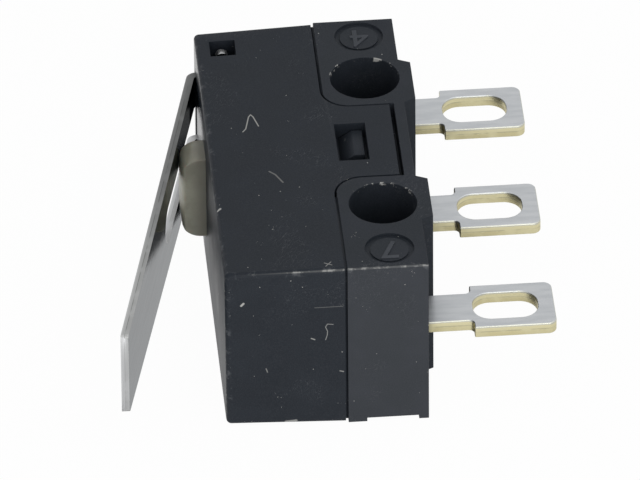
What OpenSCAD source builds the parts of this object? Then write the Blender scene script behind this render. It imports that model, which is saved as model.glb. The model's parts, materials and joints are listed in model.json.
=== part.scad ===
// Ultra-subminiature snap-action switch with a hinged lever and three solder lugs.
//
// The switch lies on one broad face (Z = 0). X runs along the housing, from the lever's free end
// (negative) to its hinge (positive). The plunger and the lever face +Y, the solder lugs face -Y.
// The origin is on the lower broad face, midway between the two mounting holes.

/* [Housing] */
// Length of the housing along X
body_len = 12.8; // [12.6:0.1:13.2]
// How far the housing's middle is offset from the middle of the mounting holes
body_shift = -0.1; // [-0.2:0.05:0]
// Thickness between the two broad faces, along Z
body_thk = 5.8; // [5.6:0.1:6.2]
// Height of the lever side above the mounting holes' centre line
top_y = 5.06; // [5.0:0.02:5.2]
// Depth of the lug side below the mounting holes' centre line
bottom_y = -1.1; // [-1.2:0.05:-1.05]
// Height of the joint line between base and cover
seam_y = 1.43; // [1.4:0.01:1.5]
// Width of the shadow groove along the joint line
seam_groove = 0.08; // [0.04:0.02:0.1]
// Moulding draft of the cover's ends, taken off each end at the top
draft_x = 0.09; // [0.04:0.01:0.12]
// Moulding draft of the cover's broad faces, taken off each face at the top
draft_z = 0.07; // [0.03:0.01:0.1]
// Rounding of the cover's outer edges
cover_round = 0.16; // [0.08:0.02:0.24]
// Wall thickness of the cover
wall = 0.6; // [0.5:0.05:0.65]

/* [Mounting] */
// Distance between the two mounting holes
hole_pitch = 6.5; // [6.4:0.05:6.6]
// Diameter of the hole under the hinge
hole_d_hinge = 2.14; // [1.9:0.02:2.16]
// Diameter of the hole under the lever's free end
hole_d_free = 2.08; // [1.9:0.02:2.16]
// How far the two feet stand out on the lug side
foot_h = 0.36; // [0.2:0.02:0.5]
// Length of a foot where it meets the base
foot_len = 2.24; // [1.8:0.02:2.4]

/* [Latches] */
// Half width of the cover's snap tongues
tongue_half = 1.81; // [1.7:0.01:1.9]
// Thickness of the snap tongues
tongue_thk = 0.55; // [0.45:0.05:0.6]
// Lowest edge of the snap tongues
tongue_tip_y = -0.63; // [-0.7:0.01:-0.6]
// Gap between a tongue's tip and the bar under it
tongue_tip_gap = 0.14; // [0.08:0.02:0.2]
// Gap between the base's ears and the tongues
ear_gap = 0.06; // [0.03:0.01:0.08]
// Radius of the ears' inner corners
ear_r = 0.88; // [0.8:0.02:0.92]

/* [Solder lugs] */
// Distance between neighbouring lugs
lug_pitch = 5.08; // [5:0.04:5.12]
// Sheet thickness of the lugs
lug_thk = 0.4; // [0.3:0.05:0.45]
// Upper face of the lugs
lug_top_z = 3.15; // [3:0.05:3.3]
// Width of a lug's neck
neck_w = 1.36; // [1.2:0.02:1.4]
// Width of a lug's head
head_w = 2.1; // [2:0.02:2.2]
// Where a lug's head begins
head_y = -2.53; // [-2.6:0.01:-2.4]
// Tip of a lug
lug_tip_y = -5.03; // [-5.1:0.01:-4.9]
// Length of the wire slot in a lug
slot_len = 1.98; // [1.9:0.02:2.04]
// Width of the wire slot in a lug
slot_w = 1.3; // [1.2:0.02:1.4]

/* [Lever] */
// Sheet thickness of the lever
lever_thk = 0.24; // [0.2:0.01:0.26]
// Angle between the free lever and the housing
lever_angle = 13.06; // [12.5:0.02:13.4]
// Where the lever's free end is
lever_end_x = -7.27; // [-9:0.01:-6.5]
// Height of the lever's outer face above the midpoint of the holes
lever_rise = 6.598; // [6.55:0.001:6.7]
// Width of the lever at its free end
lever_w_end = 2.9; // [2.6:0.05:3.2]
// Width of the lever at its hinge
lever_w_hinge = 3.52; // [3.3:0.02:3.6]
// Width of the gap between the lever's two arms
fork_gap = 1.24; // [1:0.02:1.4]
// Where the gap between the arms ends
fork_end_x = -0.37; // [-0.5:0.01:0]
// Inner face of the legs that go down into the cover
leg_x = 5.35; // [5.3:0.01:5.37]

/* [Plunger] */
// Middle of the plunger along X
plunger_x = 1.95; // [1.9:0.01:2]
// Size of the plunger's head along X
plunger_len = 1.06; // [1:0.02:1.1]
// Size of the plunger's head along Z
plunger_w = 2.92; // [2.8:0.02:3]
// Top of the plunger's crown
plunger_top_y = 5.855; // [5.8:0.005:5.86]
// Radius of the crown across the head
crown_r = 1.2; // [1:0.1:1.6]

/* [Snap mechanism] */
// Thickness of the snap blade
blade_thk = 0.1; // [0.08:0.01:0.12]
// Width of the snap blade
blade_w = 3.1; // [2.8:0.1:3.2]
// Middle plane of the snap blade
blade_y = 2.84; // [2.8:0.01:2.88]
// Line that the snap blade rocks on
rocker_x = -4.6; // [-4.7:0.05:-4.5]
// Where the three contacts are
contact_x = 3.9; // [3.8:0.05:4]
// Diameter of the contacts
contact_d = 1.1; // [0.9:0.05:1.2]

/* [Hidden] */

$fn = 64;
eps = 0.01;

x_min = body_shift - body_len / 2;
x_max = body_shift + body_len / 2;
mid_z = body_thk / 2;
hole_x = hole_pitch / 2;

// Cavity of the cover
cavity_x0 = x_min + wall;
cavity_x1 = x_max - wall;
cavity_top_y = top_y - wall;
cavity_z0 = wall + 0.1;

// Pocket that holds the lever's ears, open to both broad faces
pocket_x0 = 4.9;
pocket_x1 = 5.68;
pocket_y0 = 3.83;
pocket_y1 = 4.62;
pocket_wall = 0.2;
// Slot in the lever side that the legs go through
leg_slot_x0 = 5.06;
leg_slot_margin = 0.14;

// Ears of the lever, which turn in the pocket
ear_y0 = 4.06;
ear_y1 = 4.42;
ear_reach = 0.3;
ear_round = 0.17;
bend_r = 0.08;

// Lugs, from the free end to the hinge end
lug_z0 = lug_top_z - lug_thk;
common_x = body_shift - lug_pitch;
open_x = body_shift;
closed_x = body_shift + lug_pitch;
stem_w = 0.94;
stem_shift = 0.12;
lug_round = 0.26;

// Contact heights: the moving contact lies against the closed contact at rest
contact_cap = 0.2;
contact_air = 0.01;
contact_travel = 0.74;
fixed_cap = 0.15;
shank_d = 0.6;
moving_top_y = blade_y + blade_thk / 2 + contact_cap;
moving_low_y = blade_y - blade_thk / 2 - contact_cap;
closed_arm_y = moving_top_y + contact_air + fixed_cap;
open_arm_y = moving_low_y - contact_travel - fixed_cap;
arm_h = 0.4;
arm_over = 0.6;
neck_top_y = -0.75;

// Snap blade, the hook that holds it, and its spring tongue
blade_x0 = -5.68;
blade_x1 = contact_x + 0.56;
blade_window_x0 = -3.4;
hook_x0 = -5.5;
hook_x1 = -5.2;
tongue_root_x = 1.25;
tongue_bend_x = 0.2;
tongue_end_x = -1.35;
tongue_r = 2.6;
tongue_post_x1 = -1.25;
tongue_post_y = 1.95;

// Plunger inside the cover
shoulder_y = cavity_top_y - 0.02;
shoulder_h = 0.45;
shoulder_len = 2.1;
shoulder_side = 0.25;
nose_d = 0.8;
nose_gap = 0.1;
nose_y = blade_y + blade_thk / 2 + nose_gap + nose_d / 2;
guide_gap = 0.05;

module base_colour() { color("#2c2e33") children(); }
module steel_colour() { color("#c4c7c9") children(); }
module silver_colour() { color("#b4b7bb") children(); }
module copper_colour() { color("#c08a58") children(); }
module contact_colour() { color("#d9dadc") children(); }

// Turns a profile drawn in Y and Z, and extruded upwards, so that it runs along X from x0 to x1
module along_x(x0, x1) {
    translate([x0, 0, 0])
        rotate([90, 0, 90])
            linear_extrude(x1 - x0)
                children();
}

// Turns an outline drawn in X and Z so that it runs along Y from y0 to y1
module along_y(y0, y1) {
    translate([0, y1, 0])
        rotate([90, 0, 0])
            linear_extrude(y1 - y0)
                children();
}

module round_rect(size, r) {
    union() {
        translate([r, 0])
            square([size.x - 2 * r, size.y]);
        translate([0, r])
            square([size.x, size.y - 2 * r]);
        for (x = [r, size.x - r], y = [r, size.y - r])
            translate([x, y])
                circle(r);
    }
}

// Outline of a snap tongue, with the flare that follows the ears' round inner corners.
// Grown by gap and lengthened to tip_y, it is the notch between the base's ears.
module tongue_outline(gap, tip_y) {
    half = tongue_half + gap;
    centre_x = tongue_half + ear_r;
    centre_y = seam_y - ear_r;
    translate([-half, tip_y])
        square([2 * half, seam_y - tip_y]);
    for (side = [0, 1])
        mirror([side, 0])
            difference() {
                translate([half - eps, centre_y])
                    square([centre_x - half + eps, ear_r]);
                translate([centre_x, centre_y])
                    circle(ear_r - gap);
            }
}

// Foot beside a mounting hole, with slanted ends
module foot_outline(x) {
    slant = 0.17;
    half = foot_len / 2;
    translate([x, bottom_y])
        polygon([
            [-half, eps], [half, eps], [half, 0],
            [half - slant, -foot_h], [slant - half, -foot_h], [-half, 0]
        ]);
}

// Ramped nose that a tongue's window snaps over. It stands on the plane z = 0.
module latch_nose() {
    nose_x0 = -0.42;
    nose_x1 = 0.86;
    nose_h = tongue_thk - 0.22;
    along_x(nose_x0, nose_x1)
        polygon([[0.3, -eps], [0.3, nose_h], [0.62, nose_h], [1.04, 0.04], [1.04, -eps]]);
}

// Round moulding mark, sunk into the upper broad face
module round_mark(x) {
    mark_d = 1.5;
    mark_depth = 0.1;
    translate([x, 0, body_thk - mark_depth])
        difference() {
            cylinder(d = mark_d, h = 1);
            translate([0, 0, -eps])
                cylinder(d = mark_d - 0.32, h = mark_depth / 2 + eps);
        }
}

// Low rim that locates the cover, inside its walls
module base_rim() {
    rim_h = 0.42;
    rim_t = 0.3;
    fit = 0.04;
    x0 = cavity_x0 + fit;
    x1 = cavity_x1 - fit;
    z0 = cavity_z0 + fit;
    z1 = body_thk - cavity_z0 - fit;
    difference() {
        along_y(seam_y - eps, seam_y + rim_h)
            translate([x0, z0])
                square([x1 - x0, z1 - z0]);
        along_y(seam_y - 1, seam_y + 1)
            translate([x0 + rim_t, z0 + rim_t])
                square([x1 - x0 - 2 * rim_t, z1 - z0 - 2 * rim_t]);
    }
}

module base() {
    mark_x = 5.49;
    groove_depth = 0.09;
    base_colour()
        difference() {
            union() {
                // Middle layer, between the two tongues
                translate([x_min, bottom_y, tongue_thk])
                    cube([body_len, seam_y - bottom_y, body_thk - 2 * tongue_thk]);
                // Ears and bar, through the whole thickness
                linear_extrude(body_thk)
                    difference() {
                        union() {
                            translate([x_min, bottom_y])
                                square([body_len, seam_y - bottom_y]);
                            foot_outline(-hole_x + 0.2);
                            foot_outline(hole_x - 0.24);
                        }
                        tongue_outline(ear_gap, tongue_tip_y - tongue_tip_gap);
                    }
                translate([0, 0, body_thk - tongue_thk])
                    latch_nose();
                translate([0, 0, tongue_thk])
                    mirror([0, 0, 1])
                        latch_nose();
                base_rim();
            }
            // Mounting holes
            translate([hole_x, 0, -1])
                cylinder(d = hole_d_hinge, h = body_thk + 2);
            translate([-hole_x, 0, -1])
                cylinder(d = hole_d_free, h = body_thk + 2);
            round_mark(mark_x - 0.05);
            round_mark(-mark_x - 0.05);
            // Shallow relief in the lower broad face, open at the end
            linear_extrude(0.13)
                union() {
                    translate([x_min - 1, -0.8])
                        square([1.9, 1.58]);
                    translate([x_min + 0.9, -0.01])
                        circle(d = 1.58);
                }
            // Shadow groove under the cover
            along_y(seam_y - seam_groove, seam_y + eps)
                difference() {
                    translate([x_min - 1, -1])
                        square([body_len + 2, body_thk + 2]);
                    translate([x_min + groove_depth, groove_depth])
                        square([body_len - 2 * groove_depth, body_thk - 2 * groove_depth]);
                }
            // Seats of the three terminals
            translate([0, 0, lug_z0])
                linear_extrude(lug_thk) {
                    common_outline();
                    open_outline();
                    closed_outline();
                }
        }
}

// Outside of the cover: drafted on all sides, with rounded edges
module cover_block() {
    r = cover_round;
    hull() {
        for (x = [x_min + r, x_max - r], z = [r, body_thk - r])
            translate([x, seam_y, z])
                rotate([-90, 0, 0])
                    cylinder(r = r, h = eps, $fn = 24);
        for (x = [x_min + draft_x + r, x_max - draft_x - r], z = [draft_z + r, body_thk - draft_z - r])
            translate([x, top_y - r, z])
                sphere(r, $fn = 24);
    }
}

module cover() {
    window_x0 = -0.97;
    window_x1 = 0.93;
    window_y0 = 0.2;
    window_y1 = 1.15;
    base_colour()
        difference() {
            union() {
                cover_block();
                for (z = [0, body_thk - tongue_thk])
                    translate([0, 0, z])
                        linear_extrude(tongue_thk)
                            tongue_outline(0, tongue_tip_y);
            }
            // Cavity, with a step that leaves a wall round the lever's pocket
            translate([cavity_x0, seam_y - eps, cavity_z0])
                cube([
                    pocket_x0 - pocket_wall - cavity_x0,
                    cavity_top_y - seam_y + eps,
                    body_thk - 2 * cavity_z0
                ]);
            translate([0, seam_y - eps, cavity_z0])
                cube([cavity_x1, pocket_y0 - pocket_wall - seam_y + eps, body_thk - 2 * cavity_z0]);
            // Pocket for the ears, and the slot that the legs come through
            translate([pocket_x0, pocket_y0, -1])
                cube([pocket_x1 - pocket_x0, pocket_y1 - pocket_y0, body_thk + 2]);
            translate([leg_slot_x0, pocket_y0 + eps, mid_z - lever_w_hinge / 2 - leg_slot_margin])
                cube([pocket_x1 - leg_slot_x0, 2, lever_w_hinge + 2 * leg_slot_margin]);
            // Way out for the plunger
            along_y(cavity_top_y - 1, top_y + 1)
                translate([plunger_x - plunger_len / 2 - guide_gap, mid_z - plunger_w / 2 - guide_gap])
                    square([plunger_len + 2 * guide_gap, plunger_w + 2 * guide_gap]);
            // Latch windows in both tongues
            translate([window_x0, window_y0, -1])
                cube([window_x1 - window_x0, window_y1 - window_y0, body_thk + 2]);
        }
}

// Side view of the head, from its lower edge upwards: a low crown with rounded corners
module head_side(h) {
    side_crown_r = 9;
    corner_r = 0.65;
    intersection() {
        translate([-1, 0])
            round_rect([h + 1, plunger_w], corner_r);
        translate([h - side_crown_r, plunger_w / 2])
            circle(side_crown_r, $fn = 180);
    }
}

// Crowned head, a shoulder that stays inside the cover, and a round nose above the snap blade
module plunger() {
    head_y0 = shoulder_y - shoulder_h;
    head_h = plunger_top_y - head_y0;
    w0 = mid_z - plunger_w / 2;
    color("#a5a493")
        union() {
            intersection() {
                translate([0, 0, w0])
                    linear_extrude(plunger_w)
                        intersection() {
                            translate([plunger_x - plunger_len / 2, head_y0])
                                square([plunger_len, head_h + 1]);
                            union() {
                                translate([plunger_x, plunger_top_y - crown_r])
                                    circle(crown_r, $fn = 96);
                                translate([plunger_x - crown_r, head_y0 - 1])
                                    square([2 * crown_r, head_h + 1 - crown_r]);
                            }
                        }
                along_x(plunger_x - plunger_len, plunger_x + plunger_len)
                    translate([head_y0, w0])
                        head_side(head_h);
            }
            translate([plunger_x - shoulder_len / 2, head_y0, w0 - shoulder_side])
                cube([shoulder_len, shoulder_h, plunger_w + 2 * shoulder_side]);
            translate([0, 0, w0])
                linear_extrude(plunger_w) {
                    translate([plunger_x - nose_d / 2, nose_y])
                        square([nose_d, head_y0 - nose_y + eps]);
                    translate([plunger_x, nose_y])
                        circle(d = nose_d);
                }
        }
}

// Section of the lever's sheet: free blade, bend and leg
module lever_section() {
    outer_r = bend_r + lever_thk;
    inner_line = lever_rise * cos(lever_angle) - outer_r;
    bend_x = leg_x - bend_r;
    bend_y = (inner_line - sin(lever_angle) * bend_x) / cos(lever_angle);
    end_y = lever_rise - tan(lever_angle) * lever_end_x;
    blade_len = (bend_x - lever_end_x) * cos(lever_angle) + (end_y - bend_y) * sin(lever_angle);
    translate([bend_x, bend_y]) {
        rotate(180 - lever_angle)
            translate([0, -outer_r])
                square([blade_len, lever_thk]);
        translate([bend_r, ear_y0 - bend_y])
            square([lever_thk, bend_y - ear_y0]);
        intersection() {
            difference() {
                circle(outer_r);
                circle(bend_r);
            }
            polygon([
                [0, 0], [outer_r * 2, 0], [outer_r * 2, outer_r * 2],
                [outer_r * 2 * sin(lever_angle), outer_r * 2 * cos(lever_angle)]
            ]);
        }
    }
}

// Plan of the lever: wider towards the hinge, with a round-ended gap between its two arms
module lever_plan() {
    corner_r = 0.16;
    x0 = lever_end_x - lever_thk * sin(lever_angle);
    x1 = leg_x + 1;
    half_end = lever_w_end / 2;
    half_hinge = lever_w_hinge / 2;
    difference() {
        union() {
            polygon([
                [x0 + corner_r, -half_end], [leg_x, -half_hinge], [x1, -half_hinge],
                [x1, half_hinge], [leg_x, half_hinge], [x0 + corner_r, half_end]
            ]);
            translate([x0, corner_r - half_end])
                square([2 * corner_r, lever_w_end - 2 * corner_r]);
            for (side = [-1, 1])
                translate([x0 + corner_r, side * (half_end - corner_r)])
                    circle(corner_r);
        }
        fork_plan();
    }
}

module fork_plan() {
    r = fork_gap / 2;
    translate([fork_end_x + r, 0])
        circle(r);
    translate([fork_end_x + r, -r])
        square([leg_x + 2 - fork_end_x, fork_gap]);
}

// One folded sheet: blade, two arms, two legs, and an ear on each leg
module lever() {
    steel_colour()
        difference() {
            union() {
                intersection() {
                    linear_extrude(body_thk)
                        lever_section();
                    along_y(ear_y0 - 1, top_y + 5)
                        translate([0, mid_z])
                            lever_plan();
                }
                along_x(leg_x, leg_x + lever_thk)
                    translate([ear_y0, ear_reach])
                        round_rect([ear_y1 - ear_y0, body_thk - 2 * ear_reach], ear_round);
            }
            along_y(ear_y0 - 1, top_y + 5)
                translate([0, mid_z])
                    fork_plan();
        }
}

// Outside part of a terminal: head with its wire slot, and neck
module lug_outline(x) {
    slot_y = -3.54;
    slot_round = 0.56;
    fillet_r = 0.16;
    head_l = head_y - lug_tip_y;
    difference() {
        union() {
            translate([x - head_w / 2, lug_tip_y])
                round_rect([head_w, head_l - 0.3], lug_round);
            translate([x - head_w / 2, head_y - head_l / 2])
                square([head_w, head_l / 2]);
            translate([x - neck_w / 2, head_y - eps])
                square([neck_w, neck_top_y - head_y + eps]);
            for (side = [-1, 1])
                difference() {
                    translate([x + side * (neck_w + fillet_r) / 2 - fillet_r / 2, head_y - eps])
                        square([fillet_r, fillet_r + eps]);
                    translate([x + side * (neck_w / 2 + fillet_r), head_y + fillet_r])
                        circle(fillet_r);
                }
        }
        translate([x - slot_w / 2, slot_y - slot_len / 2])
            round_rect([slot_w, slot_len], slot_round);
    }
}

// Lug, stem, rocker post with its hook, and the arm that ends under the blade's tongue
module common_outline() {
    stem_x0 = common_x - stem_w / 2;
    post_top = blade_y - blade_thk / 2 - 0.01;
    hook_top = blade_y + 0.42;
    lug_outline(common_x);
    translate([stem_x0, neck_top_y - eps])
        square([stem_w, 2 - neck_top_y]);
    translate([stem_x0, seam_y])
        square([rocker_x - stem_x0, post_top - seam_y]);
    translate([hook_x0, seam_y])
        square([hook_x1 - hook_x0, hook_top - seam_y]);
    translate([hook_x0, hook_top - 0.2])
        square([0.62, 0.2]);
    difference() {
        translate([stem_x0, seam_y])
            square([tongue_post_x1 - stem_x0, tongue_post_y - seam_y]);
        translate([rocker_x + 0.2, seam_y + 0.34])
            square([tongue_post_x1 - 0.5 - rocker_x - 0.2, 1]);
        translate([tongue_post_x1 - 0.25, tongue_post_y])
            rotate(45)
                square(0.14, center = true);
    }
}

// Lug, stem, and the arm that carries the open contact
module open_outline() {
    lug_outline(open_x);
    translate([open_x - stem_w / 2, neck_top_y - eps])
        square([stem_w, open_arm_y - neck_top_y + eps]);
    translate([open_x, open_arm_y - arm_h])
        square([contact_x + arm_over - open_x, arm_h]);
}

// Lug, stem, and the arm that carries the closed contact
module closed_outline() {
    stem_x0 = closed_x + stem_shift - stem_w / 2;
    arm_top = pocket_y0 - pocket_wall - 0.03;
    lug_outline(closed_x);
    translate([stem_x0, neck_top_y - eps])
        square([stem_w, arm_top - neck_top_y + eps]);
    translate([contact_x - arm_over, closed_arm_y])
        square([stem_x0 + stem_w - contact_x + arm_over, arm_top - closed_arm_y]);
}

module stamped() {
    translate([0, 0, lug_z0])
        linear_extrude(lug_thk)
            children();
}

module common_terminal() {
    silver_colour()
        stamped()
            common_outline();
}

module open_terminal() {
    silver_colour()
        stamped()
            open_outline();
}

module closed_terminal() {
    silver_colour()
        stamped()
            closed_outline();
}

// Plan of the snap blade, with its inner window, hook slot and rivet hole
module blade_plan() {
    neck_x = contact_x - 0.9;
    difference() {
        union() {
            translate([blade_x0, -blade_w / 2])
                square([neck_x - blade_x0, blade_w]);
            translate([neck_x - 0.5, -0.75])
                square([blade_x1 - neck_x + 0.5, 1.5]);
        }
        translate([blade_window_x0, -0.65])
            square([tongue_root_x - blade_window_x0, 1.3]);
        translate([hook_x0 - 0.08, -lug_thk / 2 - 0.09])
            square([hook_x1 - hook_x0 + 0.16, lug_thk + 0.18]);
        translate([contact_x, 0])
            circle(d = shank_d);
    }
}

// Spring tongue: it leaves the window's edge in the blade's plane and curves down to the post
module tongue_section() {
    translate([tongue_bend_x, blade_y - blade_thk / 2])
        square([tongue_root_x - tongue_bend_x + eps, blade_thk]);
    intersection() {
        translate([tongue_bend_x, blade_y - tongue_r])
            difference() {
                circle(tongue_r + blade_thk / 2, $fn = 128);
                circle(tongue_r - blade_thk / 2, $fn = 128);
            }
        translate([tongue_end_x, blade_y - 1])
            square([tongue_bend_x - tongue_end_x + eps, 2]);
    }
}

module snap_blade() {
    tongue_w = 0.9;
    copper_colour()
        union() {
            along_y(blade_y - blade_thk / 2, blade_y + blade_thk / 2)
                translate([0, mid_z])
                    blade_plan();
            translate([0, 0, mid_z - tongue_w / 2])
                linear_extrude(tongue_w)
                    tongue_section();
        }
}

// Double-headed rivet, closed over the blade on both sides
module moving_contact() {
    head_edge = contact_cap * 0.6;
    contact_colour()
        translate([contact_x, blade_y, mid_z])
            rotate([-90, 0, 0])
                union() {
                    translate([0, 0, -blade_thk / 2])
                        cylinder(d = shank_d, h = blade_thk);
                    for (side = [0, 1])
                        mirror([0, 0, side])
                            translate([0, 0, blade_thk / 2]) {
                                cylinder(d = contact_d, h = head_edge);
                                translate([0, 0, head_edge])
                                    cylinder(
                                        d1 = contact_d,
                                        d2 = contact_d - 0.24,
                                        h = contact_cap - head_edge
                                    );
                            }
                }
}

// Crowned contact strip, welded across the edge of a terminal's arm. It stands on y = 0.
module contact_strip() {
    strip_w = 0.7;
    crown = 1.2;
    translate([contact_x - contact_d / 2, 0, mid_z])
        rotate([90, 0, 90])
            linear_extrude(contact_d)
                intersection() {
                    translate([0, -strip_w / 2])
                        square([fixed_cap, strip_w]);
                    translate([fixed_cap - crown, 0])
                        circle(crown, $fn = 96);
                }
}

module open_contact() {
    contact_colour()
        translate([0, open_arm_y, 0])
            contact_strip();
}

module closed_contact() {
    contact_colour()
        translate([0, closed_arm_y, 0])
            mirror([0, 1, 0])
                contact_strip();
}

base();
cover();
plunger();
lever();
common_terminal();
open_terminal();
closed_terminal();
snap_blade();
moving_contact();
open_contact();
closed_contact();
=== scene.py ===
"""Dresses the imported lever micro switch: finishes, softened edges, moulding marks and light dirt.

Sizes in the dataclasses are in millimetres and become metres through MM. The row frame is that of
the part: X runs from the lever's free end to its hinge, +Y towards the lever, +Z up.
"""

from __future__ import annotations

import itertools
import json
import logging
import math
from collections.abc import Callable, Iterable
from dataclasses import dataclass, field
from enum import Enum, IntEnum

import bmesh
import bpy
from mathutils import Matrix, Vector

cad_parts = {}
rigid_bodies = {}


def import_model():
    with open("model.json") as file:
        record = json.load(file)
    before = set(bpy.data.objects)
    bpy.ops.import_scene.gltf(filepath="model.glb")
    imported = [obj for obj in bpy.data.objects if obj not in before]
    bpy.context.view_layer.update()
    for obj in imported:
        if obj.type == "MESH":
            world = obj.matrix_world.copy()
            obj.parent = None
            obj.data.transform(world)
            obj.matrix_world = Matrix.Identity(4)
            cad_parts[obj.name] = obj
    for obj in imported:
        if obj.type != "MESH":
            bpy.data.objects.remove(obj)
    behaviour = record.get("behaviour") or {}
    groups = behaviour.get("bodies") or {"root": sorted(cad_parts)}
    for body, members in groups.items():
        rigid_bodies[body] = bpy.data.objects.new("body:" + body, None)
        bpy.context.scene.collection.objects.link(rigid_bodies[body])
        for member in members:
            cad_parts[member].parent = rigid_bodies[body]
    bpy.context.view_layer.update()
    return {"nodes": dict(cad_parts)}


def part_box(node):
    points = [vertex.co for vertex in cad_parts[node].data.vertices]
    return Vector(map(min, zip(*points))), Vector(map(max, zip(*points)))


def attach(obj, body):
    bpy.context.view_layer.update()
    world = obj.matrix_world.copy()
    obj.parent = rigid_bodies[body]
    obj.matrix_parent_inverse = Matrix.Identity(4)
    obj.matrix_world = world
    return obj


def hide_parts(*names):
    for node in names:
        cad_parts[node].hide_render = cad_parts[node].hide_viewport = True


LOG = logging.getLogger("switch")
MM = 0.001
UP = Vector((0.0, 0.0, 1.0))

Colour = tuple[float, float, float, float]
Triple = tuple[float, float, float]
Path = tuple[tuple[float, float], ...]

WHITE: Colour = (1.0, 1.0, 1.0, 1.0)


class Body(Enum):
    """The bodies that the new pieces ride on."""

    HOUSING = "housing"
    LEVER = "lever"
    PLUNGER = "plunger"


class Slot(Enum):
    """The names of the record's material slots."""

    HOUSING = "housing"
    PLUNGER = "plunger"
    LEVER = "lever"
    TERMINAL = "terminal"


class LeverFace(IntEnum):
    """The lever's kinds of face, in the order of its materials."""

    ROLLED = 0
    LONG_CUT = 1
    # Short cut faces take a copy of the sheared steel painted brighter, a painted light.
    SHORT_CUT = 2


# ---------------------------------------------------------------------------
# Shader maths


class Wire:
    """A shader socket that can be used in Python expressions."""

    def __init__(self, shader: Shader, socket: bpy.types.NodeSocket) -> None:
        """Wraps one output socket.

        Args:
            shader: The shader that the socket belongs to.
            socket: The socket.
        """
        self.shader = shader
        self.socket = socket

    def _math(self, operation: str, first: object, second: object = 0.0) -> Wire:
        """Adds a Math node.

        Args:
            operation: The node's operation, such as ADD.
            first: The first value or wire.
            second: The second value or wire.

        Returns:
            The node's result.
        """
        return self.shader.node("ShaderNodeMath", {"operation": operation}, {0: first, 1: second})

    def __add__(self, other: object) -> Wire:
        """self + other."""
        return self._math("ADD", self, other)

    def __radd__(self, other: object) -> Wire:
        """other + self."""
        return self._math("ADD", other, self)

    def __sub__(self, other: object) -> Wire:
        """self - other."""
        return self._math("SUBTRACT", self, other)

    def __rsub__(self, other: object) -> Wire:
        """other - self."""
        return self._math("SUBTRACT", other, self)

    def __mul__(self, other: object) -> Wire:
        """self * other."""
        return self._math("MULTIPLY", self, other)

    def __abs__(self) -> Wire:
        """The size of self."""
        return self._math("ABSOLUTE", self)

    def least(self, other: object) -> Wire:
        """Takes the lesser of two values.

        Args:
            other: A value or a wire.

        Returns:
            The lesser of it and self.
        """
        return self._math("MINIMUM", self, other)

    def most(self, other: object) -> Wire:
        """Takes the greater of two values.

        Args:
            other: A value or a wire.

        Returns:
            The greater of it and self.
        """
        return self._math("MAXIMUM", self, other)

    def rise(self, start: float, end: float) -> Wire:
        """Turns self into a smooth step.

        Args:
            start: The value at which the step is 0.
            end: The value at which it is 1, which may be less than start.

        Returns:
            A value from 0 to 1.
        """
        low, high = min(start, end), max(start, end)
        step = self.shader.node(
            "ShaderNodeMapRange",
            {"interpolation_type": "SMOOTHSTEP"},
            {"Value": self, "From Min": low, "From Max": high},
        )
        return step if start < end else 1.0 - step


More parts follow.
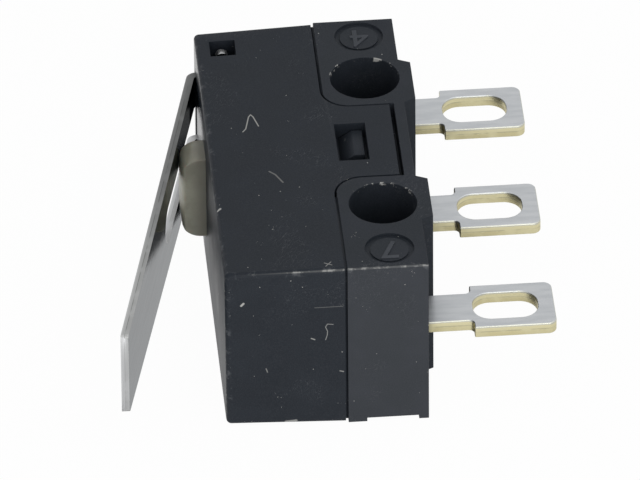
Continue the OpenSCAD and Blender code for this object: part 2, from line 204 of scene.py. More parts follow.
class Shader:
    """One material's node tree, with a Principled shader at its end."""

    def __init__(self, name: str) -> None:
        """Makes the material.

        Args:
            name: The material's name.
        """
        self.material = bpy.data.materials.new(name)
        self.material.use_nodes = True
        self.tree = self.material.node_tree
        self.surface = self.tree.nodes["Principled BSDF"]

    def node(
        self,
        kind: str,
        settings: dict[str, object] | None = None,
        inputs: dict[str | int, object] | None = None,
        output: str | int = 0,
    ) -> Wire:
        """Adds one node.

        Args:
            kind: The node's type.
            settings: Its settings, which are set first.
            inputs: Values or wires for its sockets.
            output: The output to return.

        Returns:
            That output.
        """
        made = self.tree.nodes.new(kind)
        for key, value in (settings or {}).items():
            setattr(made, key, value)
        for key, value in (inputs or {}).items():
            self.feed(made.inputs[key], value)
        return Wire(self, made.outputs[output])

    def feed(self, socket: bpy.types.NodeSocket, value: object) -> None:
        """Links a wire to a socket, or sets the socket's own value.

        Args:
            socket: The socket.
            value: A wire, or a plain value.
        """
        if isinstance(value, Wire):
            self.tree.links.new(value.socket, socket)
        else:
            socket.default_value = value

    def set(self, **inputs: object) -> None:
        """Feeds the Principled shader's sockets.

        Args:
            **inputs: Wires or values, under the sockets' names with _ for a space.
        """
        for key, value in inputs.items():
            self.feed(self.surface.inputs[key.replace("_", " ")], value)

    def place(self) -> Wire:
        """The place on the object in millimetres."""
        coords = self.node("ShaderNodeTexCoord", output="Object")
        return self.node(
            "ShaderNodeVectorMath",
            {"operation": "SCALE"},
            {"Vector": coords, "Scale": 1.0 / MM},
        )

    def stretched(self, place: Wire, size: Triple, turn: Triple | None = None) -> Wire:
        """Stretches a pattern, and turns it first where a turn is given.

        Args:
            place: The coordinates to change.
            size: The factor along each axis, after the turn.
            turn: The turn about each axis, in degrees.

        Returns:
            The new coordinates.
        """
        if turn:
            place = self.node(
                "ShaderNodeMapping",
                {"vector_type": "POINT"},
                {"Vector": place, "Rotation": tuple(math.radians(a) for a in turn)},
            )
        return self.node("ShaderNodeVectorMath", {"operation": "MULTIPLY"}, {0: place, 1: size})

    def axes(self, place: Wire) -> tuple[Wire, Wire, Wire]:
        """Splits a place, or a colour, into its three parts.

        Args:
            place: The place.

        Returns:
            The three parts.
        """
        split = self.tree.nodes.new("ShaderNodeSeparateXYZ")
        self.feed(split.inputs[0], place)
        return tuple(Wire(self, split.outputs[i]) for i in range(3))

    def noise(self, place: Wire, scale: float, detail: float = 2.0, roughness: float = 0.5) -> Wire:
        """Makes smooth noise.

        Args:
            place: Coordinates in millimetres.
            scale: How many waves there are in a millimetre.
            detail: How many finer layers there are.
            roughness: How strong the finer layers are.

        Returns:
            Noise from 0 to 1.
        """
        return self.node(
            "ShaderNodeTexNoise",
            None,
            {"Vector": place, "Scale": scale, "Detail": detail, "Roughness": roughness},
        )

    def specks(self, place: Wire, pitch: float, radius: float, share: float) -> Wire:
        """Scattered round specks.

        Args:
            place: Coordinates in millimetres.
            pitch: About how far apart the cells are.
            radius: The largest speck's radius.
            share: The share of cells that hold one.

        Returns:
            1 inside a speck and 0 outside.
        """
        cell = self.tree.nodes.new("ShaderNodeTexVoronoi")
        self.feed(cell.inputs["Vector"], place)
        cell.inputs["Scale"].default_value = 1.0 / pitch
        away = Wire(self, cell.outputs["Distance"])
        chance, size, _ = self.axes(Wire(self, cell.outputs["Color"]))
        limit = (size * 0.75 + 0.25) * (radius / pitch)
        inside = (limit - away).rise(0.0, 0.25 * radius / pitch)
        return inside * chance.rise(share, share - 0.01)

    def stroke(self, x: Wire, y: Wire, points: Path, width: float) -> Wire:
        """A thin line through some points.

        Args:
            x: The first coordinate.
            y: The second coordinate.
            points: The line's corners.
            width: The line's width.

        Returns:
            1 on the line and 0 away from it.
        """
        line: Wire | float = 0.0
        for (ax, ay), (bx, by) in itertools.pairwise(points):
            long, tall = bx - ax, by - ay
            share = ((x - ax) * long + (y - ay) * tall) * (1.0 / (long * long + tall * tall))
            share = share.most(0.0).least(1.0)
            away = self.length(x - ax - share * long, y - ay - share * tall)
            line = away.rise(width * 0.7, width * 0.3).most(line)
        return line

    def length(self, x: Wire, y: Wire) -> Wire:
        """Measures a flat vector.

        Args:
            x: Its first part.
            y: Its second part.

        Returns:
            Its length.
        """
        flat = self.node("ShaderNodeCombineXYZ", None, {0: x, 1: y})
        return self.node("ShaderNodeVectorMath", {"operation": "LENGTH"}, {0: flat}, "Value")

    def mix(self, factor: object, first: object, second: object) -> Wire:
        """Mixes two colours.

        Args:
            factor: The second colour's share, from 0 to 1.
            first: The first colour.
            second: The second colour.

        Returns:
            The mixed colour.
        """
        return self.node(
            "ShaderNodeMix",
            {"data_type": "RGBA"},
            {0: factor, 6: first, 7: second},
            output=2,
        )

    def bump(self, height: Wire, depth: float) -> None:
        """Feeds Normal from a height.

        Args:
            height: The height, from 0 to 1.
            depth: What 1 stands for, in millimetres.
        """
        normal = self.node(
            "ShaderNodeBump",
            None,
            {"Height": height, "Distance": depth * MM, "Strength": 1.0},
        )
        self.set(Normal=normal)


def rgb(red: float, green: float, blue: float) -> Colour:
    """Turns an 8-bit sRGB colour into a linear one.

    Args:
        red: Red, from 0 to 255.
        green: Green, from 0 to 255.
        blue: Blue, from 0 to 255.

    Returns:
        The linear colour, with alpha 1.
    """
    parts = [c / 255.0 for c in (red, green, blue)]
    linear = [c / 12.92 if c <= 0.04045 else ((c + 0.055) / 1.055) ** 2.4 for c in parts]
    return (*linear, 1.0)


# ---------------------------------------------------------------------------
# Finishes


@dataclass(frozen=True)
class Mark:
    """A fibre, fleck or scratch on one flat face."""

    points: Path
    width: float
    strength: float


@dataclass(frozen=True)
class HousingFinish:
    """Matte slate-black moulding with fine grain, white dust and scuffed edges, plus painted
    highlights along the free end's upper edge and the holes' hinge-side rims, and a paler painted
    free end.
    """

    name: str = "slate_black_moulding"
    colour: Colour = rgb(29, 34, 41)
    cloudy: Colour = rgb(34, 39, 46)
    # Used for real wear and grain, and also for the painted light on the free end.
    worn_and_lit: Colour = rgb(112, 114, 118)
    dust: Colour = rgb(196, 196, 192)
    roughness: float = 0.5
    specular: float = 0.12
    edge_highlight_width: float = 0.103
    # How wide the painted highlight along the free end's upper edge is.
    """How wide the pale line along the free end's upper edge is."""
    top_marks: tuple[Mark, ...] = (
        Mark(
            ((0.86, 3.94), (1.0, 3.84), (1.6, 3.71), (1.72, 3.64), (1.6, 3.57), (1.1, 3.44)),
            0.035,
            0.75,
        ),
        Mark(((-1.27, 3.3), (-1.45, 3.13), (-1.87, 2.93)), 0.05, 0.3),
        Mark(((-3.05, 5.0), (-3.0, 4.93)), 0.07, 1.0),
        Mark(((-6.27, 1.99), (-6.07, 1.82)), 0.03, 0.5),
        Mark(((-6.23, 1.8), (-6.1, 2.02)), 0.03, 0.5),
    )
    """Dirt on the upper broad face, at places in X and Y."""
    end_marks: tuple[Mark, ...] = (
        Mark(
            ((2.03, 3.18), (1.98, 3.35), (1.97, 3.5), (2.03, 3.66), (1.97, 3.77), (1.8, 3.75)),
            0.026,
            0.5,
        ),
        Mark(((4.57, 4.58), (4.5, 4.66)), 0.065, 0.9),
        Mark(((2.46, 3.25), (2.36, 3.2)), 0.04, 0.6),
        Mark(((3.84, 2.17), (3.8, 2.04)), 0.035, 0.4),
        Mark(((3.25, 0.12), (2.95, 0.15)), 0.09, 0.7),
        Mark(((2.35, 4.4), (1.5, 4.42)), 0.026, 0.2),
        Mark(((1.5, 1.95), (1.6, 1.98)), 0.04, 0.5),
    )
    """Dirt on the free end, at places in Y and Z."""
    end_painted_light: float = 0.03
    # How much paler the free end is painted, a painted light on that face.
    """How much paler the free end is."""
    scratched: float = 0.3
    scuffed: float = 0.5
    burr_and_highlight_strength: float = 0.7
    smeared: float = 0.45
    soiled: float = 0.85
    flat_face: tuple[float, float] = (0.14, 0.1)
    """How near a face's plane its marks begin and are whole."""
    burr_and_highlight_reach: tuple[float, float] = (0.045, 0.02)
    # How far outside a hole its burr and painted highlight end and are whole.
    """How far outside a hole its burr ends and is whole."""
    relief: float = 0.0025

    def soiling(self, shader: Shader, place: Wire, top: Wire, end: Wire) -> Wire:
        """Scatters white dust and draws the single fibres, flecks and scratches.

        Args:
            shader: The material's shader.
            place: Coordinates in millimetres.
            top: 1 on the upper broad face.
            end: 1 on the free end.

        Returns:
            How dirty each place is, from 0 to 1.
        """
        x, y, z = shader.axes(place)
        sway = shader.node("ShaderNodeTexNoise", None, {"Vector": place, "Scale": 9.0}, "Color")
        wobble = shader.node("ShaderNodeVectorMath", {"operation": "ADD"}, {0: place, 1: sway})
        dust = shader.specks(place, 0.31, 0.02, 0.55)
        dirt = dust.most(shader.specks(wobble, 0.8, 0.048, 0.6))
        faces = ((self.top_marks, x, y, top), (self.end_marks, y, z, end))
        for marks, across, up, on_face in faces:
            for mark in marks:
                line = shader.stroke(across, up, mark.points, mark.width)
                dirt = dirt.most(line * on_face * mark.strength)
        return dirt

    def make(self, block: HousingBlock) -> bpy.types.Material:
        """Builds the material.

        Args:
            block: The housing, whose edges are scuffed.

        Returns:
            The material.
        """
        shader = Shader(self.name)
        place = shader.place()
        x, y, z = shader.axes(place)
        cloud = shader.noise(place, 0.7, 3.0, 0.6)
        grain = shader.noise(place, 26.0, 2.0, 0.6)
        ragged = shader.noise(place, 3.5, 4.0, 0.7)
        base = shader.mix(cloud.rise(0.3, 0.75), self.colour, self.cloudy)
        base = shader.mix(grain.rise(0.35, 0.8) * 0.07, base, self.worn_and_lit)

        # Scratches: thin ridges of stretched noise, kept in a few places
        streak = shader.noise(shader.stretched(place, (0.7, 9.0, 9.0), (12, 20, 34)), 1.0, 1.0, 0.4)
        ridge = abs(streak - 0.5).rise(0.012, 0.0)
        patch = shader.noise(place, 0.55, 1.0).rise(0.56, 0.66)
        scratch = ridge * patch
        base = shader.mix(scratch * self.scratched, base, self.worn_and_lit)

        # Scuffed outer edges, a painted highlight along the free end's upper edge and a paler
        # painted free end, all measured from the drafted faces
        lift = (y - block.seam_y).most(0.0) * (1.0 / (block.top_y - block.seam_y))
        dx = x - block.x_min - lift * block.draft[0]
        dz = block.thickness - z - lift * block.draft[1]
        dy = block.top_y - y
        # Painted highlight: a broken pale line along the free end's upper edge, mixed in with the
        # dust colour.
        edge_highlight = (dx + dz).rise(self.edge_highlight_width, self.edge_highlight_width * 0.93)
        edge_highlight = edge_highlight * (ragged.rise(0.48, 0.62) * 0.42 + 0.13)
        edge = (dx + dz).least(dx + dy).least(dz + dy)
        scuff = edge.rise(0.24, 0.05) * ragged.rise(0.53, 0.68)
        base = shader.mix(scuff * self.scuffed, base, self.worn_and_lit)
        base = shader.mix(edge_highlight, base, self.dust)
        # Painted light: the free end is mixed towards the paler worn colour.
        base = shader.mix(dx.rise(0.06, 0.02) * self.end_painted_light, base, self.worn_and_lit)

        # Pale burrs with a painted highlight on the hinge side of the holes' mouths
        top = dz.rise(*self.flat_face)
        for hole_x, hole_d in block.holes:
            away = shader.length(x - hole_x, y)
            outer, inner = (hole_d / 2 + width for width in self.burr_and_highlight_reach)
            rim = away.rise(outer, inner) * (x - hole_x).rise(0.1, 0.4)
            burr_and_highlight = rim * top * ragged.rise(0.56, 0.62)
            base = shader.mix(burr_and_highlight * self.burr_and_highlight_strength, base, self.dust)

        # The lever side is smoother, and rubbed along its borders
        ledge = y.rise(block.top_y - 0.03, block.top_y - 0.01)
        border = dz.rise(0.55, 0.08).most(dx.rise(0.7, 0.1)) * x.rise(1.5, -1.0)
        rubbed = shader.noise(shader.stretched(place, (2.5, 6.0, 8.0)), 1.0, 4.0, 0.7)
        smear = ledge * border * rubbed.rise(0.56, 0.68)
        dirt = self.soiling(shader, place, top, dx.rise(*self.flat_face))
        dirt = dirt.most(smear * self.smeared)
        base = shader.mix(dirt * self.soiled, base, self.dust)

        height = grain * 0.7 + scratch * 0.5 + dirt * 1.5
        polish = ledge * (x.rise(1.5, 3.5) * 0.2 + 0.07)
        rough = self.roughness + (cloud - 0.5) * 0.16 - polish
        shader.set(Base_Color=base, Roughness=rough, Specular_IOR_Level=self.specular)
        shader.bump(height, self.relief)
        return shader.material


@dataclass(frozen=True)
class PlungerFinish:
    """Grey-beige, slightly translucent moulding, smooth and mottled, with painted shade that
    darkens it near its slot.
    """

    name: str = "beige_moulding"
    colour: Colour = rgb(166, 165, 149)
    shade: Colour = rgb(146, 145, 130)
    painted_slot_shade: Colour = rgb(112, 110, 100)
    dust: Colour = rgb(214, 213, 205)
    painted_slot_shade_reach: float = 0.55
    # How far above the housing the painted shade ends.
    """How far above the housing the grime ends."""
    roughness: float = 0.4
    cloudiness: float = 0.12
    depth: float = 0.6
    """How far light goes into the moulding."""
    relief: float = 0.001

    def make(self, block: HousingBlock) -> bpy.types.Material:
        """Builds the material.

        Args:
            block: The housing, near whose slot the plunger is darkened by painted shade.

        Returns:
            The material.
        """
        shader = Shader(self.name)
        place = shader.place()
        _, y, _ = shader.axes(place)
        mottle = shader.noise(place, 1.4, 3.0, 0.55)
        grain = shader.noise(place, 18.0, 2.0)
        dust = shader.specks(place, 0.5, 0.02, 0.12)
        base = shader.mix(mottle.rise(0.3, 0.7), self.shade, self.colour)
        # Painted shade: the plunger gets darker towards the housing's slot.
        dirt = y.rise(block.top_y + self.painted_slot_shade_reach, block.top_y)
        base = shader.mix(dirt * 0.8, base, self.painted_slot_shade)
        base = shader.mix(dust * 0.6, base, self.dust)
        shader.set(Base_Color=base, Roughness=self.roughness + (grain - 0.5) * 0.12)
        shader.set(Subsurface_Weight=self.cloudiness, Subsurface_Scale=self.depth * MM)
        shader.bump(grain, self.relief)
        return shader.material


@dataclass(frozen=True)
class RolledFinish:
    """Bright rolled sheet, with fine lines along the rolling direction."""

    name: str
    colour: Colour
    roughness: float
    along: Triple
    """How finely the lines are spaced along each axis."""
    lines: float = 0.1
    """How much the lines change the roughness."""
    glancing: float = 1.0
    """How bright the sheet is at a glancing angle."""
    sheen: Colour = rgb(226, 227, 228)
    dust: Colour = rgb(236, 236, 232)
    relief: float = 0.0012

    def make(self) -> bpy.types.Material:
        """Builds the material and returns it."""
        shader = Shader(self.name)
        place = shader.place()
        rolled = shader.noise(shader.stretched(place, self.along), 1.0, 3.0, 0.6)
        cloud = shader.noise(place, 0.9, 2.0)
        dust = shader.specks(place, 0.55, 0.02, 0.1)
        base = shader.mix(rolled.rise(0.3, 0.7) * 0.2, self.colour, self.sheen)
        base = shader.mix(dust * 0.5, base, self.dust)
        rough = self.roughness + (rolled - 0.5) * self.lines + (cloud - 0.5) * 0.08
        shader.set(Base_Color=base, Roughness=rough.most(0.04), Metallic=1.0 - dust)
        shader.set(Specular_Tint=(self.glancing, self.glancing, self.glancing, 1.0))
        shader.bump(rolled, self.relief)
        return shader.material


@dataclass(frozen=True)
class CutFinish:
    """Sheared edge of a sheet: a rolled-over rim, a burnished band and a torn band."""

    name: str
    colour: Colour
    torn: Colour
    rim: Colour
    across: Triple
    """The sheet's upward normal."""
    top: float
    """Where the sheet's upper face is, along that normal."""
    thickness: float
    crease: Colour = rgb(70, 70, 66)
    creased: float = 0.3
    """How strong the line between the two bands is."""
    painted_shade_colour: Colour = rgb(40, 41, 41)
    painted_shade_along_x: tuple[float, float] = (0.0, 1.0)
    # From where to where along X the painted shade on the edge grows.
    """From where to where along X the edge gets darker."""
    painted_shade_strength: float = 0.0
    roughness: float = 0.34
    relief: float = 0.002

    def make(self) -> bpy.types.Material:
        """Builds the material and returns it."""
        shader = Shader(self.name)
        place = shader.place()
        x, _, _ = shader.axes(place)
        height = shader.node(
            "ShaderNodeVectorMath",
            {"operation": "DOT_PRODUCT"},
            {0: place, 1: self.across},
            "Value",
        )
        depth = (self.top - height) * (1.0 / self.thickness)
        tears = shader.noise(shader.stretched(place, (9.0, 9.0, 2.0)), 1.0, 3.0, 0.6)
        blotch = shader.noise(place, 1.6, 2.0)
        lower = (depth + (tears - 0.5) * 0.3).rise(0.5, 0.62)
        share = lower * blotch.rise(0.3, 0.6)
        base = shader.mix(share * 0.6, self.colour, self.torn)
        base = shader.mix((depth + (blotch - 0.5) * 0.12).rise(0.2, 0.12), base, self.rim)
        crease = abs(depth - 0.5).rise(0.08, 0.02) * blotch.rise(0.35, 0.55)
        base = shader.mix(crease * self.creased, base, self.crease)
        # Painted shade: the edge is darkened along X.
        base = shader.mix(x.rise(*self.painted_shade_along_x) * self.painted_shade_strength, base, self.painted_shade_colour)
        shader.set(Base_Color=base, Roughness=self.roughness + share * 0.15, Metallic=1.0)
        shader.bump(tears, self.relief)
        return shader.material


@dataclass(frozen=True)
class PlainMetal:
    """Clean metal of the parts that stay inside the housing."""

    name: str
    colour: Colour
    roughness: float = 0.25
    sheen: Colour = rgb(236, 232, 226)

    def make(self) -> bpy.types.Material:
        """Builds the material and returns it."""
        shader = Shader(self.name)
        place = shader.place()
        lines = shader.noise(shader.stretched(place, (1.0, 14.0, 14.0)), 1.0, 2.0)
        base = shader.mix(lines.rise(0.3, 0.7) * 0.3, self.colour, self.sheen)
        shader.set(Base_Color=base, Roughness=self.roughness + (lines - 0.5) * 0.1, Metallic=1.0)
        return shader.material


# ---------------------------------------------------------------------------
# Meshes

WELD = 0.0008
"""How near corners are joined, in millimetres."""
SPLINTER = 0.0005
"""Edges shorter than this are taken away."""
FLAT = math.radians(1.5)
"""Faces that meet at less than this are one face."""
SHARP = math.radians(28.0)
"""Edges that turn by more than this are bevelled."""
CREASED = math.radians(40.0)
"""Edges that turn by more than this are shaded sharp."""
SHORTEST = 1e-9
"""Stands in for the length of an edge that has none."""


def cad_shape(node: bpy.types.Object) -> bmesh.types.BMesh:
    """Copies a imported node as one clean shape.

    Args:
        node: The node's object, whose mesh is loose triangles.

    Returns:
        A bmesh with shared corners and flat faces in one piece.
    """
    shape = bmesh.new()
    shape.from_mesh(node.data)
    bmesh.ops.remove_doubles(shape, verts=shape.verts, dist=WELD * MM)
    bmesh.ops.dissolve_degenerate(shape, dist=SPLINTER * MM, edges=shape.edges)
    bmesh.ops.dissolve_limit(
        shape,
        angle_limit=FLAT,
        use_dissolve_boundaries=False,
        verts=shape.verts,
        edges=shape.edges,
        delimit=set(),
    )
    return shape


def reach(face: bmesh.types.BMFace, edge: bmesh.types.BMEdge) -> float:
    """Estimates how far a face reaches away from one of its edges.

    Args:
        face: The face.
        edge: One of its edges.

    Returns:
        The reach in metres.
    """
    return face.calc_area() / max(edge.calc_length(), SHORTEST)


def soften(shape: bmesh.types.BMesh, widths: Path) -> None:
    """Bevels the sharp edges, wide ones first.

    Args:
        shape: The shape to change.
        widths: Pairs of the reach that both faces need and the bevel's width, in millimetres.
    """
    done: set[int] = set()
    groups: list[list[bmesh.types.BMEdge]] = []
    for least_reach, _ in widths:
        group = [
            edge
            for edge in shape.edges
            if edge.index not in done
            and len(edge.link_faces) == 2
            and edge.calc_face_angle(0.0) > SHARP
            and min(reach(face, edge) for face in edge.link_faces) > least_reach * MM
        ]
        done.update(edge.index for edge in group)
        groups.append(group)
    for (_, width), group in zip(widths, groups, strict=True):
        live = [edge for edge in group if edge.is_valid]
        if live:
            bmesh.ops.bevel(
                shape,
                geom=live,
                offset=width * MM,
                offset_type="OFFSET",
                affect="EDGES",
                segments=3,
                profile=0.5,
                material=-1,
                clamp_overlap=True,
            )


def finished(
    shape: bmesh.types.BMesh,
    name: str,
    materials: Iterable[bpy.types.Material],
) -> bpy.types.Object:
    """Turns a bmesh into a shaded object at the origin.

    Args:
        shape: The shape, which is freed.
        name: The new object's name.
        materials: Its materials, in the order of the faces' material numbers.

    Returns:
        The object.
    """
    mesh = bpy.data.meshes.new(name)
    shape.to_mesh(mesh)
    shape.free()
    for material in materials:
        mesh.materials.append(material)
    mesh.shade_smooth()
    mesh.set_sharp_from_angle(angle=CREASED)
    piece = bpy.data.objects.new(name, mesh)
    bpy.context.scene.collection.objects.link(piece)
    weighted = piece.modifiers.new("even_shading", "WEIGHTED_NORMAL")
    weighted.mode = "FACE_AREA"
    weighted.keep_sharp = True
    return piece


def dress(node: bpy.types.Object, material: bpy.types.Material) -> None:
    """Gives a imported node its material.

    Args:
        node: The node's object.
        material: The material.
    """
    node.data.materials.clear()
    node.data.materials.append(material)


# ---------------------------------------------------------------------------
# Sub-assemblies


@dataclass
class HousingBlock:
    """The moulded base and cover, with their marks."""

    thickness: float
    x_min: float
    top_y: float
    seam_y: float = 1.43
    """Where the base ends and the cover begins."""
    draft: tuple[float, float] = (0.09, 0.07)
    """How much the cover's end and broad face lean inwards, up to the lever side."""
    holes: tuple[tuple[float, float], ...] = ((3.25, 2.14), (-3.25, 2.08))
    """Where the mounting holes are along X, and their diameters."""
    edges: Path = ((0.25, 0.04), (0.04, 0.014))
    """The bevels' reaches and widths."""
    numerals: tuple[tuple[str, float], ...] = (("4", 5.44), ("7", -5.54))
    """The numerals in the round marks, and where those are along X."""
    mark_depth: float = 0.05
    numeral_size: float = 1.2
    numeral_rise: float = 0.02
    numeral_edge: float = 0.012

    @classmethod
    def from_frame(cls) -> HousingBlock:
        """Reads the housing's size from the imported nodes."""
        low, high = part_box("cover")
        return cls(thickness=high.z / MM, x_min=low.x / MM, top_y=high.y / MM)

    def numeral(self, text: str, x: float, material: bpy.types.Material) -> bpy.types.Object:
        """Makes one raised moulding numeral.

        Args:
            text: The numeral.
            x: Where its mark is, in millimetres.
            material: Its finish.

        Returns:
            The numeral's object.
        """
        curve = bpy.data.curves.new(f"numeral_{text}", "FONT")
        curve.body = text
        curve.size = self.numeral_size * MM
        curve.extrude = self.numeral_rise * MM
        curve.bevel_depth = self.numeral_edge * MM
        curve.align_x = "CENTER"
        curve.align_y = "CENTER"
        holder = bpy.data.objects.new(curve.name, curve)
        bpy.context.scene.collection.objects.link(holder)
        bpy.context.view_layer.update()
        graph = bpy.context.evaluated_depsgraph_get()
        mesh = bpy.data.meshes.new_from_object(holder.evaluated_get(graph))
        bpy.data.objects.remove(holder)
        turn = Matrix.Rotation(math.radians(90.0), 4, "Z")
        place = Matrix.Translation(Vector((x, 0.0, self.thickness - self.mark_depth)) * MM)
        mesh.transform(place @ turn)
        mesh.materials.clear()
        mesh.materials.append(material)
        mesh.name = f"mark_numeral_{text}"
        piece = bpy.data.objects.new(mesh.name, mesh)
        bpy.context.scene.collection.objects.link(piece)
        return piece

    def build(self, nodes: dict[str, bpy.types.Object]) -> list[bpy.types.Object]:
        """Builds the base, the cover and the numerals.

        Args:
            nodes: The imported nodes.

        Returns:
            The pieces.
        """
        cover = HousingFinish().make(self)
        # The base gets a narrower painted highlight along its free end's upper edge and a stronger
        # painted light on its free end.
        base = HousingFinish(
            "slate_black_base",
            rgb(34, 39, 45),
            rgb(41, 45, 52),
            edge_highlight_width=0.045,
            end_painted_light=0.16,
        ).make(self)
        # The numerals take a paler copy of the moulding, a painted highlight for their glinting
        # edges.
        mark = HousingFinish("numeral_painted_highlight", rgb(58, 62, 68), rgb(74, 77, 83)).make(self)
        pieces = []
        shells = (("base", "moulded_base", base), ("cover", "moulded_cover", cover))
        for node, name, material in shells:
            shape = cad_shape(nodes[node])
            soften(shape, self.edges)
            piece = finished(shape, name, [material])
            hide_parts(node)
            pieces.append(piece)
        pieces += [self.numeral(text, x, mark) for text, x in self.numerals]
        for piece in pieces:
            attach(piece, Body.HOUSING.value)
        return pieces


@dataclass
class PlungerHead:
    """The moulded plunger."""

    block: HousingBlock
    edges: Path = ((0.1, 0.05),)

    def build(self, nodes: dict[str, bpy.types.Object]) -> bpy.types.Object:
        """Builds the plunger.

        Args:
            nodes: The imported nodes.

        Returns:
            The piece.
        """
        shape = cad_shape(nodes["plunger"])
        soften(shape, self.edges)
        piece = finished(shape, "moulded_plunger", [PlungerFinish().make(self.block)])
        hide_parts("plunger")
        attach(piece, Body.PLUNGER.value)
        return piece


@dataclass
class LeverSheet:
    """The folded steel lever."""

    slope: float = math.radians(13.06)
    leg_x: float = 5.3
    ear_top_y: float = 4.45
    tip_x: float = -6.9
    mid_z: float = 2.9
    fork_x: tuple[float, float] = (-0.5, 0.5)
    """From where to where along X the fork's root lies."""
    fork_half: float = 1.0
    """How far from the middle the fork's inner faces can be."""
    slanted: float = 0.3
    """How large a part of a cut face's normal is at least."""
    square: float = 0.7
    """How large it is on a face that looks straight along."""
    top: float = 6.427
    """Where the blade's outer face is, along its normal."""
    thickness: float = 0.24
    edges: Path = ((0.05, 0.05),)

    def finish_of(self, face: bmesh.types.BMFace) -> LeverFace:
        """Picks a face's material.

        Args:
            face: The face.

        Returns:
            Whether it is rolled, a long sheared edge or one of the short ones, which are painted
            brighter as painted light.
        """
        normal, place = face.normal, face.calc_center_median() / MM
        along = Vector((-math.cos(self.slope), math.sin(self.slope), 0.0))
        on_ear = place.x > self.leg_x and place.y < self.ear_top_y
        in_middle = abs(place.z - self.mid_z) < self.fork_half
        if abs(normal.z) > self.slanted:
            return LeverFace.SHORT_CUT if on_ear or in_middle else LeverFace.LONG_CUT
        ahead = normal.dot(along)
        in_fork = in_middle and self.fork_x[0] < place.x < self.fork_x[1]
        at_tip = place.x < self.tip_x and ahead > self.square
        if at_tip or (in_fork and abs(ahead) > self.slanted):
            return LeverFace.SHORT_CUT
        end_of_ear = on_ear and abs(normal.y) > self.square
        return LeverFace.SHORT_CUT if end_of_ear else LeverFace.ROLLED

    def build(self, nodes: dict[str, bpy.types.Object]) -> bpy.types.Object:
        """Builds the lever.

        Args:
            nodes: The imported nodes.

        Returns:
            The piece.
        """
        shape = cad_shape(nodes["lever"])
        for face in shape.faces:
            face.material_index = self.finish_of(face)
        soften(shape, self.edges)
        rolled = RolledFinish(
            "rolled_steel",
            rgb(136, 144, 149),
            0.07,
            (0.6, 0.6, 16.0),
            lines=0.05,
            glancing=0.46,
        )
        across = (math.sin(self.slope), math.cos(self.slope), 0.0)
        # The long sheared edges get painted shade that darkens them towards the hinge.
        long_cut = CutFinish(
            "sheared_steel",
            rgb(164, 165, 165),
            rgb(150, 151, 150),
            rgb(176, 177, 177),
            across,
            self.top,
            self.thickness,
            creased=0.6,
            painted_shade_along_x=(-6.0, 1.5),
            painted_shade_strength=0.6,
            roughness=0.4,
        )
        # The short cut faces get a copy of the sheared steel painted brighter, a painted light.
        painted_lit_cut = CutFinish(
            "sheared_steel_painted_lit",
            rgb(187, 188, 189),
            rgb(170, 171, 171),
            rgb(198, 199, 200),
            across,
            self.top,
            self.thickness,
        )
        piece = finished(shape, "steel_lever", [rolled.make(), long_cut.make(), painted_lit_cut.make()])
        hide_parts("lever")
        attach(piece, Body.LEVER.value)
        return piece


@dataclass
class Terminals:
    """The three stamped terminals."""

    edges: Path = ((0.05, 0.04),)
    flat: float = 0.7
    """How large a plated face's normal is along Z at least."""
    top: float = 3.15
    thickness: float = 0.4
    names: dict[str, str] = field(
        default_factory=lambda: {
            "common_terminal": "common_lug",
            "open_terminal": "open_lug",
            "closed_terminal": "closed_lug",
        }
    )

    def build(self, nodes: dict[str, bpy.types.Object]) -> list[bpy.types.Object]:
        """Builds the terminals.

        Args:
            nodes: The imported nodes.

        Returns:
            The pieces.
        """
        plate = RolledFinish(
            "silver_plating",
            rgb(176, 179, 182),
            0.34,
            (5.0, 0.8, 5.0),
            lines=0.06,
        ).make()
        cut = CutFinish(
            "sheared_brass",
            rgb(210, 203, 166),
            rgb(196, 187, 146),
            rgb(190, 190, 178),
            tuple(UP),
            self.top,
            self.thickness,
            roughness=0.4,
        ).make()
        pieces = []
        for node, name in self.names.items():
            shape = cad_shape(nodes[node])
            for face in shape.faces:
                face.material_index = int(abs(face.normal.z) < self.flat)
            soften(shape, self.edges)
            piece = finished(shape, name, [plate, cut])
            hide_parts(node)
            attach(piece, Body.HOUSING.value)
            pieces.append(piece)
        return pieces


@dataclass
class SnapMechanism:
    """The blade and the contacts inside the housing."""

    def build(self, nodes: dict[str, bpy.types.Object]) -> None:
        """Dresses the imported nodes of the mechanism.

        Args:
            nodes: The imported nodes.
        """
        dress(nodes["snap_blade"], PlainMetal("copper_spring_sheet", rgb(200, 146, 98)).make())
        contact = PlainMetal("silver_contact", rgb(216, 217, 219), 0.2).make()
        for name in ("moving_contact", "open_contact", "closed_contact"):
            dress(nodes[name], contact)


# ---------------------------------------------------------------------------
# Room


@dataclass(frozen=True)
class Lamp:
    """One soft square lamp that faces the switch."""

    name: str
    towards: Triple
    """The direction from the switch to the lamp."""
    size: float
    power: float
    """Its power in milliwatts."""
    distance: float = 120.0

    def build(self) -> None:
        """Makes the lamp."""
        towards = Vector(self.towards)
        data = bpy.data.lights.new(self.name, "AREA")
        data.shape = "SQUARE"
        data.size = self.size * MM
        data.energy = self.power * MM
        lamp = bpy.data.objects.new(self.name, data)
        lamp.location = towards.normalized() * self.distance * MM
        lamp.rotation_mode = "QUATERNION"
        lamp.rotation_quaternion = towards.to_track_quat("Z", "Y")
        bpy.context.scene.collection.objects.link(lamp)


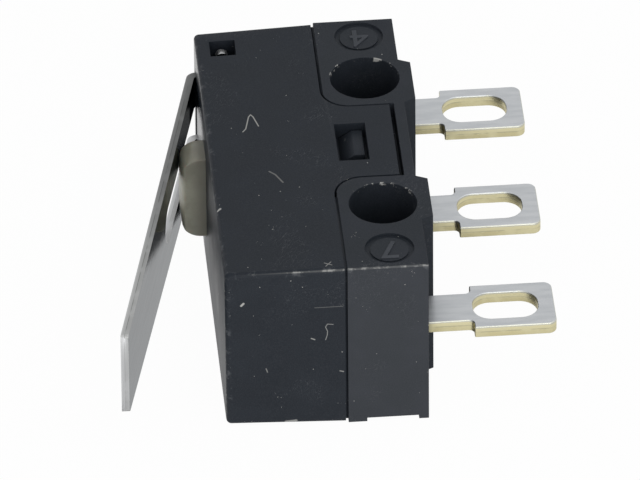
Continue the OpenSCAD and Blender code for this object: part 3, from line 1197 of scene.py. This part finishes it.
@dataclass
class Studio:
    """Floor, soft light and camera."""

    azimuth: float = -94.41
    elevation: float = 36.57
    roll: float = -0.53
    distance: float = 400.0
    offset: tuple[float, float] = (1.683, -1.609)
    lens: float = 731.2
    floor_size: float = 600.0
    floor_gap: float = 0.01
    floor_glow: float = 0.97
    """How much of the floor's look is its own light."""
    lamps: tuple[Lamp, ...] = (
        Lamp("key_light", (-0.2, -0.35, 1.0), 130.0, 38.0),
        Lamp("end_light", (-1.0, -0.1, 0.35), 90.0, 56.0),
    )
    sky: float = 0.45
    """How strongly the sky lights the switch."""

    def camera(self) -> bpy.types.Object:
        """Makes the camera and returns it."""
        angles = (self.azimuth, self.elevation, self.roll)
        azimuth, elevation, roll = (math.radians(angle) for angle in angles)
        back = Vector(
            (
                math.cos(elevation) * math.sin(azimuth),
                -math.cos(elevation) * math.cos(azimuth),
                math.sin(elevation),
            )
        )
        side = UP.cross(back).normalized()
        up = back.cross(side)
        right = side * math.cos(roll) + up * math.sin(roll)
        top = up * math.cos(roll) - side * math.sin(roll)
        place = back * self.distance - right * self.offset[0] - top * self.offset[1]
        data = bpy.data.cameras.new("camera")
        data.lens = self.lens
        data.sensor_width = 36.0
        data.clip_start = 0.01
        data.clip_end = 2.0
        camera = bpy.data.objects.new("camera", data)
        bpy.context.scene.collection.objects.link(camera)
        turn = Matrix((right, top, back)).transposed().to_4x4()
        camera.matrix_world = Matrix.Translation(place * MM) @ turn
        bpy.context.scene.camera = camera
        return camera

    def ray_kinds(self, shader: Shader) -> Wire:
        """Tells the rays that show the floor from those that light the switch.

        Args:
            shader: The floor's shader.

        Returns:
            1 for rays from the camera, a mirror or glass, and 0 for the rest.
        """
        node = shader.tree.nodes.new("ShaderNodeLightPath")
        names = ("Is Camera Ray", "Is Glossy Ray", "Is Transmission Ray")
        seen, mirrored, through = (Wire(shader, node.outputs[name]) for name in names)
        return seen.most(mirrored).most(through)

    def floor(self) -> bpy.types.Object:
        """Makes the pale floor, which keeps the switch's shadow, and returns it."""
        shape = bmesh.new()
        bmesh.ops.create_grid(shape, x_segments=1, y_segments=1, size=self.floor_size / 2 * MM)
        bmesh.ops.translate(shape, verts=shape.verts, vec=(0.0, 0.0, -self.floor_gap * MM))
        mesh = bpy.data.meshes.new("floor")
        shape.to_mesh(mesh)
        shape.free()
        shader = Shader("pale_floor")
        shader.set(Base_Color=rgb(244, 244, 244), Roughness=0.9)
        glow = shader.node("ShaderNodeEmission", None, {"Color": WHITE, "Strength": 1.0})
        lit = Wire(shader, shader.surface.outputs[0])
        share = self.ray_kinds(shader) * self.floor_glow
        blend = shader.node("ShaderNodeMixShader", None, {0: share, 1: lit, 2: glow})
        output = shader.tree.nodes["Material Output"]
        shader.feed(output.inputs["Surface"], blend)
        mesh.materials.append(shader.material)
        floor = bpy.data.objects.new("floor", mesh)
        bpy.context.scene.collection.objects.link(floor)
        return floor

    def world(self) -> None:
        """Sets a soft grey sky that looks white behind the switch."""
        world = bpy.data.worlds.new("soft_sky")
        world.use_nodes = True
        tree = world.node_tree
        path = tree.nodes.new("ShaderNodeLightPath")
        strength = tree.nodes.new("ShaderNodeMapRange")
        strength.inputs["To Min"].default_value = 1.0
        strength.inputs["To Max"].default_value = self.sky
        tree.links.new(path.outputs["Is Diffuse Ray"], strength.inputs["Value"])
        tree.links.new(strength.outputs[0], tree.nodes["Background"].inputs["Strength"])
        tree.nodes["Background"].inputs["Color"].default_value = WHITE
        bpy.context.scene.world = world

    def build(self) -> None:
        """Makes the room."""
        self.camera()
        self.floor()
        self.world()
        for lamp in self.lamps:
            lamp.build()
        bpy.context.scene.view_settings.view_transform = "Standard"


def main() -> None:
    """Builds the switch and its room."""
    logging.basicConfig(level=logging.INFO, format="%(name)s: %(message)s")
    for thing in list(bpy.data.objects):
        bpy.data.objects.remove(thing)
    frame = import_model()
    nodes = frame["nodes"]
    housing = HousingBlock.from_frame()
    makers: dict[str, Callable[[dict[str, bpy.types.Object]], object]] = {
        "housing": housing.build,
        "plunger": PlungerHead(housing).build,
        "lever": LeverSheet().build,
        "terminals": Terminals().build,
        "mechanism": SnapMechanism().build,
    }
    for name, make in makers.items():
        make(nodes)
        LOG.info("built %s", name)
    Studio().build()


if __name__ == "__main__":
    main()
